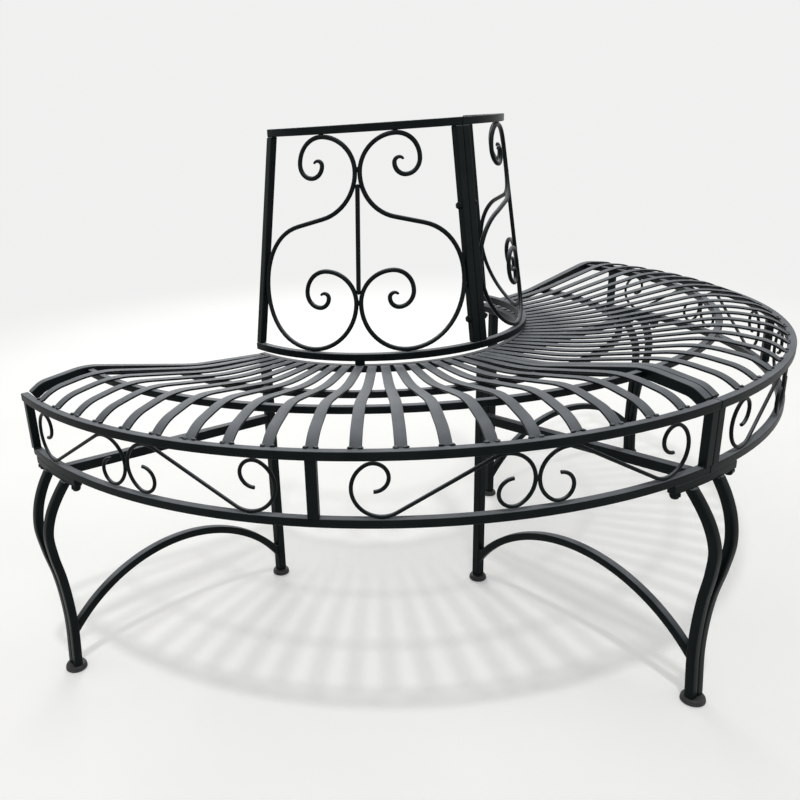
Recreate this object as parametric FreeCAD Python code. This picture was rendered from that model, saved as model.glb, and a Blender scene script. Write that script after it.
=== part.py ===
# Half-round tree bench: two quarter seats, two flared back panels and three leg frames, all in steel.
# Millimetres, Z up, the front towards -Y, and the origin on the ground in the middle of the outline.
import math
import os

import FreeCAD, Part
from FreeCAD import Vector

# Driving dimensions
seat_radius = 680.0
seat_height = 442.0
tree_radius = 253.0
back_rise = 345.0
apron_height = 100.0
slats_per_seat = 19
quarter = 90.0
joint_gap = 0.3
weld_gap = 0.15
frame_gap = 0.6

# Tubes and bars
ring_tube = 12.0
frame_tube = 15.0
support_tube = 10.0
leg_tube = 16.0
wall = 1.2
slat_width = 15.0
slat_thickness = 3.0
slat_margin = 0.5
apron_rod = 6.0
back_rod = 8.0
rod_sides = 6
rod_flat = 0.8
rod_turn = 30.0
rod_run = 40.0

# Rings of the seat
ring_step = 4.0
rim_drop = 20.0
lower_ring_radius = seat_radius - ring_step
ring_bottom = seat_height - ring_tube
lower_ring_bottom = seat_height - apron_height
lower_ring_top = lower_ring_bottom + ring_tube
rim_outer = tree_radius + ring_tube
rim_top = seat_height - rim_drop
rim_bottom = rim_top - ring_tube

# Slats: heights are above the seat's edge
slat_start = rim_outer + 2 * weld_gap
slat_end = seat_radius - ring_tube - 2 * weld_gap
slat_step = 0.2
dip_reach = 127.7
dip_rise = -12.4
crest_inset = 90.7
crest_rise = 24.4
shoulder_inset = 18.0
shoulder_rise = 13.5
slat_end_rise = 1.3
seat_curve = [
    (slat_start, rim_top - slat_step),
    (slat_start + dip_reach, seat_height + dip_rise),
    (slat_end - crest_inset, seat_height + crest_rise),
    (slat_end - shoulder_inset, seat_height + shoulder_rise),
    (slat_end, seat_height + slat_end_rise),
]
seat_bends = [300.0, 120.0, 40.0]
inner_support_reach = 159.7
outer_support_inset = 94.7

# Apron
apron_post = 14.0
apron_inset = 4.0
apron_radius = lower_ring_radius - apron_inset
scroll_reach = 145.0
curl_radius = 18.0
loop_turn = 58.0
curl_turn = 212.0

# Back
back_gap = 8.0
back_height = seat_height + back_rise
back_bottom = rim_top + back_gap
back_post = 14.5
rail_tube = 12.0
back_inset = 11.0
back_radius = tree_radius + back_inset
back_taper = 51.0
back_slope = back_taper / (back_height - back_bottom)
rail_top = back_bottom + rail_tube
rail_under = back_height - rail_tube
upper_curl = [(54.0, 90.0), (38.8, 90.0), (21.8, 90.0), (18.2, 90.0), (7.5, 150.0)]
lower_curl = [(49.2, 90.0), (34.3, 90.0), (22.9, 90.0), (15.2, 90.0), (7.5, 145.0)]
neck_radius = 70.0
neck_turn = 75.8
belly_inner = 75.0
centre_bar = 8.0
spacer_diameter = 16.0

# Legs
frame_angles = {"left": -83.5, "front": 0.0, "right": 83.5}
outer_foot_diameter = 34.0
inner_foot_diameter = 30.0
foot_height = 9.0
bracket_half_length = 67.0
bracket_top = lower_ring_bottom
bracket_bottom = bracket_top - ring_tube
foot_reach = 17.0
ankle_reach = 14.0
foot_radius = lower_ring_radius + foot_reach
ankle_radius = lower_ring_radius + ankle_reach
leg_smoothness = 0.8
# Each bend's distance out from the lower ring, its shift to the side and its drop below the leg's top
leg_bends = [
    (ankle_reach, 0.0, 238.0),
    (19.0, 0.0, 162.0),
    (27.5, 0.0, 116.0),
    (30.0, 1.5, 80.0),
    (23.0, 8.5, 46.0),
    (10.0, 18.0, 20.0),
    (-5.0, 27.0, 0.0),
]
inner_leg_radius = rim_outer + 2 * weld_gap + frame_tube / 2
arch_radius = 261.0
arch_inner_height = 49.8
arch_outer_height = 71.1
stretcher_drop = 18.0
stretcher_rise = 5.0
stretcher_gap = 1.2
stub_drop = 206.0
stub_bottom = seat_height - stub_drop

# Bolts and nuts
knob_diameter = 13.0
knob_height = 9.0
knob_offset = 58.0
back_bolt_rises = [227.0, 50.0]
bolt_across = 10.0
bolt_head = 5.0
stub_bolt_rise = 14.0

up = Vector(0, 0, 1)
no_turn = Vector(0, 0, 0)


# Plane geometry in a radial plane: x is the distance from the tree's axis and z the height
def unit(start, end):
    length = math.hypot(end[0] - start[0], end[1] - start[1])
    return ((end[0] - start[0]) / length, (end[1] - start[1]) / length)


def shifted(points, radii, offset):
    # A parallel line to the left of the way it runs, with its bend radii.
    ways = [unit(a, b) for a, b in zip(points, points[1:])]
    line = [(points[0][0] - ways[0][1] * offset, points[0][1] + ways[0][0] * offset)]
    bends = []
    for point, before, after, radius in zip(points[1:-1], ways, ways[1:], radii):
        spread = 1 + before[0] * after[0] + before[1] * after[1]
        x = point[0] - (before[1] + after[1]) * offset / spread
        z = point[1] + (before[0] + after[0]) * offset / spread
        turns_left = before[0] * after[1] - before[1] * after[0] > 0
        line.append((x, z))
        bends.append(radius - offset if turns_left else radius + offset)
    last = ways[-1]
    line.append((points[-1][0] - last[1] * offset, points[-1][1] + last[0] * offset))
    return line, bends


def bent_line(points, radii):
    # Straight runs joined by tangent arcs.
    edges = []
    start = points[0]
    for corner, before, after, radius in zip(points[1:-1], points, points[2:], radii):
        way_in = unit(before, corner)
        way_out = unit(corner, after)
        half_turn = math.acos(way_in[0] * way_out[0] + way_in[1] * way_out[1]) / 2
        tangent = radius * math.tan(half_turn)
        first = (corner[0] - way_in[0] * tangent, corner[1] - way_in[1] * tangent)
        second = (corner[0] + way_out[0] * tangent, corner[1] + way_out[1] * tangent)
        inwards = unit(corner, ((first[0] + second[0]) / 2, (first[1] + second[1]) / 2))
        depth = radius / math.cos(half_turn) - radius
        middle = (corner[0] + inwards[0] * depth, corner[1] + inwards[1] * depth)
        edges.append(Part.LineSegment(place(start), place(first)).toShape())
        edges.append(Part.Arc(place(first), place(middle), place(second)).toShape())
        start = second
    edges.append(Part.LineSegment(place(start), place(points[-1])).toShape())
    return edges


def place(point):
    return Vector(point[0], 0, point[1])


def strip(points, radii, near, far):
    # The face between two lines parallel to a bent line.
    near_line, near_bends = shifted(points, radii, near)
    far_line, far_bends = shifted(points, radii, far)
    first_end = Part.LineSegment(place(near_line[0]), place(far_line[0])).toShape()
    last_end = Part.LineSegment(place(near_line[-1]), place(far_line[-1])).toShape()
    edges = bent_line(near_line, near_bends) + [last_end] + bent_line(far_line, far_bends) + [first_end]
    return Part.Face(Part.Wire(Part.__sortEdges__(edges)))


def trimmed(points, length):
    # The same bent line, shortened at both ends.
    first = unit(points[0], points[1])
    last = unit(points[-1], points[-2])
    start = (points[0][0] + first[0] * length, points[0][1] + first[1] * length)
    end = (points[-1][0] + last[0] * length, points[-1][1] + last[1] * length)
    return [start] + points[1:-1] + [end]


def sideways(face, low, high):
    # Extruded along the tangent, from one distance to the other.
    moved = face.translated(Vector(0, low, 0))
    return moved.extrude(Vector(0, high - low, 0))


def bent_bar(points, radii, depth, low, high):
    # A square bar whose top follows the bent line.
    return sideways(strip(points, radii, 0, -depth), low, high)


def straight_tube(points, depth, low, high):
    # A closed square tube whose top follows the line between two points.
    inside = strip(trimmed(points, wall), [], -wall, wall - depth)
    return bent_bar(points, [], depth, low, high).cut(sideways(inside, low + wall, high - wall))


def box(low_r, high_r, low_t, high_t, low_z, high_z):
    size = (high_r - low_r, high_t - low_t, high_z - low_z)
    return Part.makeBox(*size, Vector(low_r, low_t, low_z))


def box_tube(low_r, high_r, low_t, high_t, low_z, high_z):
    outside = box(low_r, high_r, low_t, high_t, low_z, high_z)
    inside = box(
        low_r + wall, high_r - wall, low_t + wall, high_t - wall, low_z + wall, high_z - wall
    )
    return outside.cut(inside)


def at_angle(shape, degrees):
    # Turned about the tree's axis, where 0 is the front and +90 the right end.
    turned = shape.copy()
    turned.rotate(no_turn, up, degrees - quarter)
    return turned


def mirrored(shape):
    return shape.mirror(no_turn, Vector(1, 0, 0))


# Rings
def ring_sweep(outer_radius, depth, low_z, high_z, from_angle, to_angle):
    corners = [
        Vector(outer_radius - depth, 0, low_z),
        Vector(outer_radius, 0, low_z),
        Vector(outer_radius, 0, high_z),
        Vector(outer_radius - depth, 0, high_z),
    ]
    face = Part.Face(Part.makePolygon(corners + corners[:1]))
    return at_angle(face, from_angle).revolve(no_turn, up, to_angle - from_angle)


def quarter_ring(outer_radius, size, low_z):
    return ring_sweep(outer_radius, size, low_z, low_z + size, -quarter, 0)


# Seat of the left quarter
def slat():
    face = strip(seat_curve, seat_bends, 0, -slat_thickness)
    return sideways(face, -slat_width / 2, slat_width / 2)


def slats():
    pitch = (quarter - 2 * slat_margin) / (slats_per_seat + 1)
    angles = [-slat_margin - pitch * (count + 1) for count in range(slats_per_seat)]
    return Part.makeCompound([at_angle(slat(), angle) for angle in angles])


def height_under_slat(radius):
    edges = bent_line(*shifted(seat_curve, seat_bends, -slat_thickness))
    plumb = Part.makeLine(Vector(radius, 0, 0), Vector(radius, 0, back_height))
    return Part.Wire(edges).distToShape(plumb)[1][0][0].z


def support_ring(centre):
    # Its ends stop at the sides of the two edge bars.
    inner_edge = centre - support_tube / 2
    top = height_under_slat(inner_edge) - weld_gap
    shorten = math.degrees(math.asin((frame_tube + 2 * weld_gap) / inner_edge))
    outer_edge = centre + support_tube / 2
    return ring_sweep(outer_edge, support_tube, top - support_tube, top, shorten - quarter, -shorten)


def edge_bar(angle, low, high):
    return at_angle(bent_bar(seat_curve, seat_bends, frame_tube, low, high), angle)


# Apron of the left quarter
def apron_posts():
    half = apron_post / 2
    spans = [(-quarter, 0, apron_post), (-quarter / 2, -half, half), (0, -apron_post, 0)]
    low_r = apron_radius - ring_tube / 2
    high_r = apron_radius + ring_tube / 2
    posts = [
        at_angle(box_tube(low_r, high_r, low, high, lower_ring_top, ring_bottom), angle)
        for angle, low, high in spans
    ]
    return Part.makeCompound(posts)


def arc_points(centre, radius, start, turn):
    # Points along an arc, without its first one; a negative turn runs clockwise.
    flattest = 2 * math.degrees(math.acos(1 - rod_flat / radius))
    count = math.ceil(abs(turn) / min(rod_turn, flattest))
    angles = [math.radians(start + turn * (i + 1) / count) for i in range(count)]
    return [(centre[0] + radius * math.cos(a), centre[1] + radius * math.sin(a)) for a in angles]


def spiral(start, heading, arcs):
    # Arcs that turn left one after another, each given as a radius and a turn.
    points = [start]
    for radius, turn in arcs:
        side = math.radians(heading + 90)
        centre = (points[-1][0] + radius * math.cos(side), points[-1][1] + radius * math.sin(side))
        points += arc_points(centre, radius, heading - 90, turn)
        heading += turn
    return points


def run_points(start, end):
    # Points along a straight run, without its two ends.
    count = math.ceil(math.hypot(end[0] - start[0], end[1] - start[1]) / rod_run)
    shares = [number / count for number in range(1, count)]
    return [(start[0] + (end[0] - start[0]) * s, start[1] + (end[1] - start[1]) * s) for s in shares]


def rod(points, thickness):
    # A rod of even thickness that lies in a surface round the tree's axis.
    sections = []
    for before, point, after in zip(points[:1] + points, points, points[1:] + points[-1:]):
        way = (after - before).normalize()
        outwards = Vector(point.x, point.y, 0).normalize()
        side = way.cross(outwards).normalize()
        outwards = side.cross(way)
        corners = []
        for number in range(rod_sides):
            turn = math.radians(360 / rod_sides * number)
            corners.append(point + (side * math.cos(turn) + outwards * math.sin(turn)) * (thickness / 2))
        sections.append(Part.makePolygon(corners + corners[:1]))
    return Part.makeLoft(sections, True, True)


def apron_scroll_line():
    # One S: a loop on each ring, joined by a straight run, the same when turned half round.
    middle = (lower_ring_top + ring_bottom) / 2
    loop = (ring_bottom - lower_ring_top) / 2 - apron_rod / 2 - weld_gap
    lean = math.degrees(math.asin(2 * loop / scroll_reach))
    half_run = math.sqrt((scroll_reach / 2) ** 2 - loop ** 2)
    heading = 180 - lean
    way = math.radians(heading)
    top = (half_run * math.cos(way), half_run * math.sin(way))
    arcs = [(loop, lean), (loop, 90), (loop, loop_turn), (curl_radius, curl_turn)]
    half = spiral(top, heading, arcs)
    other_half = [(-x, -z) for x, z in reversed(half)]
    whole = other_half + run_points(other_half[-1], top) + half
    centre = scroll_reach / 2 + loop + apron_rod / 2 + weld_gap
    return [(centre + x, middle + z) for x, z in whole]


def apron_scroll(bay_angle, side):
    points = []
    for distance, height in apron_scroll_line():
        angle = math.radians(bay_angle) + side * distance / apron_radius
        points.append(Vector(apron_radius * math.sin(angle), -apron_radius * math.cos(angle), height))
    return rod(points, apron_rod)


def apron_scrolls():
    bays = [-quarter * 3 / 4, -quarter / 4]
    return Part.makeCompound([apron_scroll(bay, side) for bay in bays for side in (-1, 1)])


# Back panel of the left quarter
def back_line(height):
    # Distance of the panel's middle surface from the tree's axis.
    return back_radius - back_slope * (height - back_bottom)


def back_rail(low_z):
    middle = back_line(low_z + rail_tube / 2)
    return quarter_ring(middle + rail_tube / 2, rail_tube, low_z)


def leaning_tube(low_t, high_t, low_z, high_z, depth):
    # Upright of the panel, cut level at both ends.
    shapes = []
    for inset in (0, wall):
        reach = depth / 2 - inset
        face = leaning_face(low_z + inset, high_z - inset, reach)
        shapes.append(sideways(face, low_t + inset, high_t - inset))
    return shapes[0].cut(shapes[1])


def leaning_face(low_z, high_z, reach):
    corners = []
    for height, side in ((low_z, -1), (low_z, 1), (high_z, 1), (high_z, -1)):
        corners.append(Vector(back_line(height) + side * reach, 0, height))
    return Part.Face(Part.makePolygon(corners + corners[:1]))


def back_upright(angle, low, high):
    return at_angle(leaning_tube(low, high, rail_top, rail_under, rail_tube), angle)


def belly_radius():
    # The belly stands on the bottom rail and reaches the upright.
    half_quarter = math.radians(quarter / 2)
    ground = rail_top + weld_gap + back_rod / 2
    room = half_quarter * back_line(ground) - back_post - back_rod - 2 * weld_gap - belly_inner
    return room / (1 + half_quarter * back_slope)


def belly_start():
    # Where the rod's straight run meets the belly.
    lean = math.radians(90 - neck_turn)
    outwards = belly_radius() * math.sin(lean)
    upwards = belly_radius() * (1 + math.cos(lean))
    ground = rail_top + weld_gap + back_rod / 2
    return (-back_rod / 2 - weld_gap - belly_inner - outwards, ground + upwards)


def touch_height():
    # Where the two scrolls of a panel touch, above the belly.
    turn = math.radians(neck_turn)
    foot = -back_rod / 2 - weld_gap - neck_radius * (1 - math.cos(turn))
    start = belly_start()
    return start[1] + (foot - start[0]) / math.tan(turn) + neck_radius * math.sin(turn)


def back_scroll_line():
    # From the tip of the upper curl down to the tip of the lower one, left of the panel's middle.
    touch = -back_rod / 2 - weld_gap
    curl_base = rail_under - weld_gap - back_rod / 2 - upper_curl[0][0]
    upper = spiral((touch, curl_base), 90, upper_curl)
    neck = arc_points((touch - neck_radius, touch_height()), neck_radius, 0, -neck_turn)
    start = belly_start()
    belly_arcs = [(belly_radius(), neck_turn), (belly_radius(), 90), (belly_inner, 90)]
    belly = spiral(start, -90 - neck_turn, belly_arcs)
    upper_half = list(reversed(upper)) + [(touch, touch_height())] + neck + run_points(neck[-1], start)
    return upper_half + belly, spiral(belly[-1], 90, lower_curl)[1:]


def back_scroll(side):
    points = []
    upper, curl = back_scroll_line()
    for distance, height in upper + curl:
        radius = back_line(height)
        angle = math.radians(-quarter / 2) + side * distance / radius
        points.append(Vector(radius * math.sin(angle), -radius * math.cos(angle), height))
    return rod(points, back_rod)


def crotch_depth(radius):
    # How far the bar's end stays from the point where two rods of that bend touch.
    reach = radius + back_rod / 2 + weld_gap
    return math.sqrt(reach ** 2 - (reach - centre_bar / 2) ** 2)


def back_centre_bar():
    # Square bar between the two places where the scrolls touch.
    upper, curl = back_scroll_line()
    high_z = touch_height() - crotch_depth(neck_radius)
    low_z = upper[-1][1] + crotch_depth(lower_curl[0][0])
    half = centre_bar / 2
    return at_angle(sideways(leaning_face(low_z, high_z, half), -half, half), -quarter / 2)


def back_spacer():
    # Boss that carries the panel above the rim.
    radius = (tree_radius + rim_outer) / 2
    boss = Part.makeCylinder(spacer_diameter / 2, back_gap, Vector(radius, 0, rim_top))
    return at_angle(boss, -quarter / 2)


# Leg frames
def outer_leg(side):
    spread = leg_tube / 2 + weld_gap
    points = [Vector(foot_radius, side * spread, foot_height)]
    for outwards, sidewards, drop in leg_bends:
        height = bracket_bottom - weld_gap - drop
        points.append(Vector(lower_ring_radius + outwards, side * (spread + sidewards), height))
    curve = Part.BSplineCurve()
    curve.interpolate(points)
    return leg_sweep(curve.discretize(QuasiDeflection=leg_smoothness))


def leg_sweep(points):
    # Square sections along the leg, level at its foot and at its top.
    half = leg_tube / 2
    sections = []
    ways = [up] + [(after - before).normalize() for before, after in zip(points, points[2:])] + [up]
    for point, way in zip(points, ways):
        across = Vector(0, 1, 0).cross(way).normalize() * half
        along = way.cross(across).normalize() * half
        corners = [point + across * x + along * y for x, y in ((-1, -1), (1, -1), (1, 1), (-1, 1))]
        sections.append(Part.makePolygon(corners + corners[:1]))
    return Part.makeLoft(sections, True, True)


def inner_leg(top):
    low_r = inner_leg_radius - frame_tube / 2
    return box_tube(low_r, low_r + frame_tube, -frame_tube / 2, frame_tube / 2, foot_height, top)


def arch_brace():
    # Arc of bar between the inner leg and the pair of outer legs.
    low_r = inner_leg_radius + frame_tube / 2 + 2 * weld_gap
    high_r = ankle_radius - leg_tube / 2 - 2 * weld_gap
    way = unit((low_r, arch_inner_height), (high_r, arch_outer_height))
    half_chord = (high_r - low_r) / way[0] / 2
    depth = math.sqrt(arch_radius ** 2 - half_chord ** 2)
    centre_r = (low_r + high_r) / 2 + way[1] * depth
    centre_z = (arch_inner_height + arch_outer_height) / 2 - way[0] * depth
    half = frame_tube / 2
    base = Vector(centre_r, half, centre_z)
    disc = Part.makeCylinder(arch_radius + half, frame_tube, base, Vector(0, -1, 0))
    hole = Part.makeCylinder(arch_radius - half, frame_tube, base, Vector(0, -1, 0))
    reach = box(low_r, high_r, -frame_tube, frame_tube, foot_height, seat_height)
    return disc.cut(hole).common(reach)


def stretcher():
    # Bar between the inner leg and the bracket under the lower ring.
    low_r = inner_leg_radius + frame_tube / 2 + 2 * weld_gap
    high_r = lower_ring_radius - ring_tube - stretcher_gap
    half = frame_tube / 2
    low_end = (low_r, bracket_bottom - stretcher_drop + half)
    high_end = (high_r, bracket_bottom + stretcher_rise + half)
    return straight_tube([low_end, high_end], frame_tube, -half, half)


def bracket():
    span = math.degrees(bracket_half_length / lower_ring_radius)
    ends = (quarter - span, quarter + span)
    return ring_sweep(lower_ring_radius, ring_tube, bracket_bottom, bracket_top, *ends)


def foot_cap(radius, diameter):
    return Part.makeCylinder(diameter / 2, foot_height, Vector(radius, 0, 0))


def hexagon(centre, axis, first, across, height):
    # Six-sided nut or bolt head standing on a face, with its first corner in a given direction.
    second = axis.cross(first)
    corners = []
    for number in range(6):
        turn = math.radians(60 * number)
        corner = first * math.cos(turn) + second * math.sin(turn)
        corners.append(centre + corner * (across / math.sqrt(3)))
    return Part.Face(Part.makePolygon(corners + corners[:1])).extrude(axis * height)


def knob(side):
    # Nut below the bracket.
    radius = lower_ring_radius - ring_tube / 2
    turn = side * math.degrees(knob_offset / radius)
    start = Vector(radius, 0, bracket_bottom)
    nut = hexagon(start, -up, Vector(1, 0, 0), knob_diameter, knob_height)
    return at_angle(nut, quarter + turn)


def frame_group(shape):
    # The same solid on each of the three leg frames.
    return Part.makeCompound([at_angle(shape, angle) for angle in frame_angles.values()])


# Bolts that run along X
def cross_bolt(low_x, high_x, radius, height):
    # A head and a nut, one on each side of what they clamp.
    head = hexagon(Vector(high_x, -radius, height), Vector(1, 0, 0), up, bolt_across, bolt_head)
    nut = hexagon(Vector(low_x, -radius, height), Vector(-1, 0, 0), up, bolt_across, bolt_head)
    return [head, nut]


def back_joint_bolts():
    half_grip = back_post + joint_gap / 2
    bolts = []
    for rise in back_bolt_rises:
        height = back_bottom + rise
        bolts += cross_bolt(-half_grip, half_grip, back_line(height), height)
    return Part.makeCompound(bolts)


def seat_stub():
    # Short upright of the right seat, bolted to the front frame's inner leg.
    low_t = frame_tube / 2 + joint_gap
    high_t = low_t + frame_tube
    low_r = inner_leg_radius - frame_tube / 2
    top = rim_top - frame_tube - frame_gap
    return at_angle(box_tube(low_r, low_r + frame_tube, low_t, high_t, stub_bottom, top), 0)


def stub_bolt():
    high_x = frame_tube / 2 + joint_gap + frame_tube
    height = stub_bottom + stub_bolt_rise
    return Part.makeCompound(cross_bolt(-frame_tube / 2, high_x, inner_leg_radius, height))


# The whole bench
def quarter_pieces():
    # Pieces of the left quarter; the right one is its mirror image.
    half_gap = Vector(-joint_gap / 2, 0, 0)
    pieces = {
        "seat_upper_ring": quarter_ring(seat_radius, ring_tube, ring_bottom),
        "seat_lower_ring": quarter_ring(lower_ring_radius, ring_tube, lower_ring_bottom),
        "seat_inner_rim": quarter_ring(rim_outer, ring_tube, rim_bottom),
        "seat_inner_support": support_ring(slat_start + inner_support_reach),
        "seat_outer_support": support_ring(slat_end - outer_support_inset),
        "seat_end_bar": edge_bar(-quarter, 0, frame_tube),
        "seat_joint_bar": edge_bar(0, -frame_tube, 0),
        "seat_slats": slats(),
        "apron_posts": apron_posts(),
        "apron_scrolls": apron_scrolls(),
        "back_top_rail": back_rail(rail_under),
        "back_bottom_rail": back_rail(back_bottom),
        "back_end_post": back_upright(-quarter, 0, back_post),
        "back_joint_post": back_upright(0, -back_post, 0),
        "back_scroll_outer": back_scroll(1),
        "back_scroll_inner": back_scroll(-1),
        "back_centre_bar": back_centre_bar(),
    }
    return {name: shape.translated(half_gap) for name, shape in pieces.items()}


def frame_pieces(name):
    # A side frame's inner leg stands beside the rim, the front one's under the joint bars.
    under_bars = rim_top - frame_tube - frame_gap
    beside_rim = rim_top - slat_thickness - frame_gap
    pieces = {
        "outer_leg_a": outer_leg(-1),
        "outer_leg_b": outer_leg(1),
        "inner_leg": inner_leg(under_bars if name == "front" else beside_rim),
        "arch_brace": arch_brace(),
        "stretcher": stretcher(),
        "bracket": bracket(),
    }
    return {piece: at_angle(shape, frame_angles[name]) for piece, shape in pieces.items()}


def bench():
    pieces = {}
    for name, shape in quarter_pieces().items():
        pieces["left_" + name] = shape
        pieces["right_" + name] = mirrored(shape)
    for frame in frame_angles:
        for name, shape in frame_pieces(frame).items():
            pieces[frame + "_" + name] = shape
    pieces["outer_foot_caps"] = frame_group(foot_cap(foot_radius, outer_foot_diameter))
    pieces["inner_foot_caps"] = frame_group(foot_cap(inner_leg_radius, inner_foot_diameter))
    knobs = Part.makeCompound([knob(-1), knob(1)])
    pieces["bracket_knobs"] = frame_group(knobs)
    pieces["back_joint_bolts"] = back_joint_bolts()
    pieces["back_spacers"] = Part.makeCompound([back_spacer(), mirrored(back_spacer())])
    pieces["seat_stub_post"] = seat_stub()
    pieces["seat_stub_bolt"] = stub_bolt()
    return pieces


# The tree's axis lies behind the origin by half of the bench's depth.
pieces = bench()
front_reach = -pieces["front_outer_leg_a"].BoundBox.YMin
tree_place = Vector(0, front_reach / 2, 0)
print("tree axis at y", round(tree_place.y, 3))
os.makedirs("parts", exist_ok=True)
for name, shape in pieces.items():
    shape.translated(tree_place).exportStep(os.path.join("parts", name + ".step"))
    print(name, len(shape.Solids), round(shape.Volume))
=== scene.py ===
import math
import random

import bmesh
import bpy
from mathutils import Matrix, Vector


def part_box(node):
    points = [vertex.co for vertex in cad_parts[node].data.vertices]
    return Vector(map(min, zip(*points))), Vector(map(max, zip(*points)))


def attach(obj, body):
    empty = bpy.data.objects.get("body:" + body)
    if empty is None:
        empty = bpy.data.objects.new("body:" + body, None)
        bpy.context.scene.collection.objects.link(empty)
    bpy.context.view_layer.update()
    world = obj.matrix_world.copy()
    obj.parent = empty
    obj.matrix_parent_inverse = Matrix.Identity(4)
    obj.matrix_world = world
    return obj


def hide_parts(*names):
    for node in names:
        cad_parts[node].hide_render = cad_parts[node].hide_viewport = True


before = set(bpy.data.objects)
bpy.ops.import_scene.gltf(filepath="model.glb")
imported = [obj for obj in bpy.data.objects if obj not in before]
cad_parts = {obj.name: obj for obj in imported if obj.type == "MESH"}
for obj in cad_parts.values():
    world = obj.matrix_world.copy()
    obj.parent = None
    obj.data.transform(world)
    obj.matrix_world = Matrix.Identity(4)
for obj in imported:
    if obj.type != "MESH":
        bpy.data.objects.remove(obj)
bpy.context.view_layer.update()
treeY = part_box("left_seat_upper_ring")[1].y  # the tree stands on this line
random.seed(11)
print("frame loaded, tree axis at y", round(treeY, 4))


# Small shader kit: sockets that do maths
class Level:
    def __init__(self, paint, socket):
        self.paint = paint
        self.socket = socket

    def maths(self, operation, first, second):
        return self.paint.add("Math", {"operation": operation}, {0: first, 1: second})

    def __add__(self, other):
        return self.maths("ADD", self, other)

    def __radd__(self, other):
        return self.maths("ADD", other, self)

    def __sub__(self, other):
        return self.maths("SUBTRACT", self, other)

    def __rsub__(self, other):
        return self.maths("SUBTRACT", other, self)

    def __mul__(self, other):
        return self.maths("MULTIPLY", self, other)

    def __rmul__(self, other):
        return self.maths("MULTIPLY", other, self)


class Paint:
    def __init__(self, tree):
        self.tree = tree
        tree.nodes.clear()

    def add(self, kind, settings=None, inputs=None, output=0):
        node = self.tree.nodes.new("ShaderNode" + kind)
        for key, value in (settings or {}).items():
            setattr(node, key, value)
        for key, value in (inputs or {}).items():
            if isinstance(value, Level):
                self.tree.links.new(value.socket, node.inputs[key])
            else:
                node.inputs[key].default_value = value
        return Level(self, node.outputs[output]) if len(node.outputs) else None

    def noise(self, scale, detail=2.0):
        place = self.add("TexCoord", output=3)  # object coordinates
        return self.add("TexNoise", None, {"Vector": place, "Scale": scale, "Detail": detail})

    def ramp(self, level, low, high):
        smooth = {"interpolation_type": "SMOOTHSTEP"}
        return self.add("MapRange", smooth, {0: level, 1: low, 2: high, 3: 0.0, 4: 1.0})

    def blend(self, share, first, second):
        return self.add("Mix", {"data_type": "RGBA"}, {0: share, 6: first, 7: second}, 2)


def newPaint(name):
    material = bpy.data.materials.new(name)
    material.use_nodes = True
    return material, Paint(material.node_tree)


coatValues = {
    "deep": (0.0022, 0.0036, 0.0041, 1),
    "light": (0.0052, 0.0074, 0.0082, 1),
    "mottle": 23.0,
    "patches": 6.5,
    # painted sheen: a pale grey painted on upward faces in place of the light they reflect
    "bloom": (0.205, 0.218, 0.236, 1),
    "bloomShare": 0.92,
    "bloomFrom": (0.55, 0.97),  # how far up a face looks where the painted sheen starts and is full
    "roughness": 0.36,
    "reflection": 0.11,
    "sheen": (0.82, 0.98, 1.0, 1),
    "peel": 620.0,
    "peelDepth": 0.00006,
    "gritFiner": 3.4,
}


def powderCoat(name, values):
    # Satin powder coat: a fine orange peel, faint mottle and a painted grey sheen on what looks up, in
    # place of the light that upward faces reflect.
    material, paint = newPaint(name)
    mottle = paint.noise(values["mottle"], 3.0)
    patches = paint.noise(values["patches"], 2.0)
    peel = paint.noise(values["peel"], 1.5)
    grit = paint.noise(values["peel"] * values["gritFiner"], 1.0)
    facing = paint.add("NewGeometry", output=1)
    upwards = paint.add("SeparateXYZ", None, {0: facing}, 2)
    paintedSheenMask = paint.ramp(upwards, *values["bloomFrom"])
    clouds = paint.ramp(mottle * 0.6 + patches * 0.4, 0.32, 0.68)
    # Painted sheen: faces that look up are painted pale grey in place of reflected light, patchy with the
    # mottle.
    bloom = paintedSheenMask * (clouds * 0.3 + 0.7) * values["bloomShare"]
    coat = paint.blend(paint.ramp(mottle, 0.3, 0.7), values["deep"], values["light"])
    colour = paint.blend(bloom, coat, values["bloom"])
    gloss = (mottle - 0.5) * 0.12 + bloom * 0.22 + (grit - 0.5) * 0.05 + values["roughness"]
    height = peel + grit * 0.25
    bump = paint.add("Bump", None, {"Strength": 0.55, "Distance": values["peelDepth"], "Height": height})
    surface = paint.add(
        "BsdfPrincipled",
        None,
        {
            "Base Color": colour,
            "Roughness": gloss,
            "Normal": bump,
            "IOR": 1.5,
            "Specular IOR Level": values["reflection"],
            "Specular Tint": values["sheen"],
        },
    )
    paint.add("OutputMaterial", None, {"Surface": surface})
    return material


rubberValues = {
    "deep": (0.010, 0.010, 0.011, 1),
    "light": (0.028, 0.028, 0.029, 1),
    "mottle": 60.0,
    "grain": 1900.0,
    "grainDepth": 0.00008,
    "roughness": 0.56,
}


def rubberPaint(name, values):
    # Moulded black foot: fine spark grain and slightly scuffed sides.
    material, paint = newPaint(name)
    mottle = paint.noise(values["mottle"], 4.0)
    grain = paint.noise(values["grain"], 1.0)
    colour = paint.blend(paint.ramp(mottle, 0.35, 0.75), values["deep"], values["light"])
    bump = paint.add("Bump", None, {"Strength": 0.5, "Distance": values["grainDepth"], "Height": grain})
    gloss = (mottle - 0.5) * 0.16 + values["roughness"]
    surface = paint.add("BsdfPrincipled", None, {"Base Color": colour, "Roughness": gloss, "Normal": bump})
    paint.add("OutputMaterial", None, {"Surface": surface})
    return material


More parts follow.
